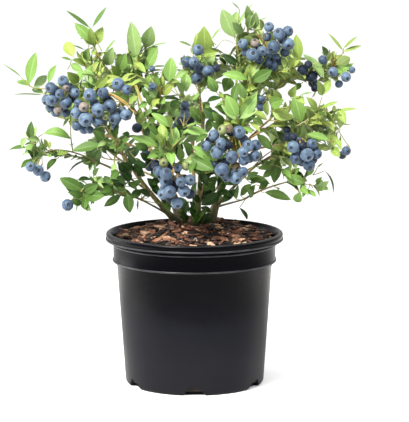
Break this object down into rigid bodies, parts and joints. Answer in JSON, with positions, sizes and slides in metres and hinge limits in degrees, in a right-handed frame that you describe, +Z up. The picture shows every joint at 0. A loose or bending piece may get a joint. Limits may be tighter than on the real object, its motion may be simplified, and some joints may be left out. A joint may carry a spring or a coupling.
{
  "type": "potted blueberry bush",
  "caption": "Fruiting highbush blueberry in a plain round nursery pot with a bark mulch top, leafy canes spreading wide over the rim.",
  "frame": {"origin": "centre of the pot's flat underside", "axes": "+Z up along the pot's axis, -Y towards the front, +X to the right as seen from the front"},
  "size_m": [0.3833, 0.3286, 0.4258],
  "materials": {
    "pot_plastic": "black injection-moulded polypropylene, satin",
    "root_ball": "damp peat and composted bark, matt",
    "bark_mulch": "shredded conifer bark chips, matt, reddish brown",
    "cane_bark": "thin flaking bark, olive to brown, matt",
    "foliage": "leaves with a satin upper side, paler matt underside",
    "fruit": "ripe blue berries under a dusty waxy bloom, with a darker calyx"
  },
  "bodies": {
    "root": {"pot": "pot_plastic", "root_ball": "root_ball", "bark_mulch": "bark_mulch", "cane_left": "cane_bark", "cane_mid_left": "cane_bark", "cane_centre": "cane_bark", "cane_right": "cane_bark", "cane_back_left": "cane_bark", "cane_back_right": "cane_bark", "cane_back": "cane_bark", "basal_shoot": "cane_bark", "bough_low_left": "cane_bark", "bough_left": "cane_bark", "bough_left_mid": "cane_bark", "bough_far_left": "cane_bark", "bough_mid_left": "cane_bark", "bough_front_left": "cane_bark", "bough_top_left": "cane_bark", "bough_top": "cane_bark", "bough_low_right": "cane_bark", "bough_right": "cane_bark", "bough_front_right": "cane_bark", "bough_right_inner": "cane_bark", "bough_right_upper": "cane_bark", "bough_crown_right": "cane_bark", "bough_top_right": "cane_bark", "bough_side_left": "cane_bark", "bough_back_low_left": "cane_bark", "bough_side_right": "cane_bark", "bough_back_low_right": "cane_bark", "bough_crown_back": "cane_bark", "foliage_low_shoot": "foliage", "foliage_low_left": "foliage", "foliage_far_left_low": "foliage", "foliage_left_mid": "foliage", "foliage_far_left": "foliage", "foliage_left": "foliage", "foliage_mid_left": "foliage", "foliage_front_left": "foliage", "foliage_top_left": "foliage", "foliage_tall_left": "foliage", "foliage_top": "foliage", "foliage_centre": "foliage", "foliage_front_right": "foliage", "foliage_crown_right": "foliage", "foliage_right": "foliage", "foliage_top_right": "foliage", "foliage_far_right": "foliage", "foliage_right_inner": "foliage", "foliage_right_mid": "foliage", "foliage_low_right": "foliage", "foliage_back_left": "foliage", "foliage_back_right": "foliage", "foliage_back": "foliage", "foliage_side_left": "foliage", "foliage_side_right": "foliage", "foliage_back_low_left": "foliage", "foliage_back_low_right": "foliage", "foliage_crown_back": "foliage"}
  },
  "joints": []
}
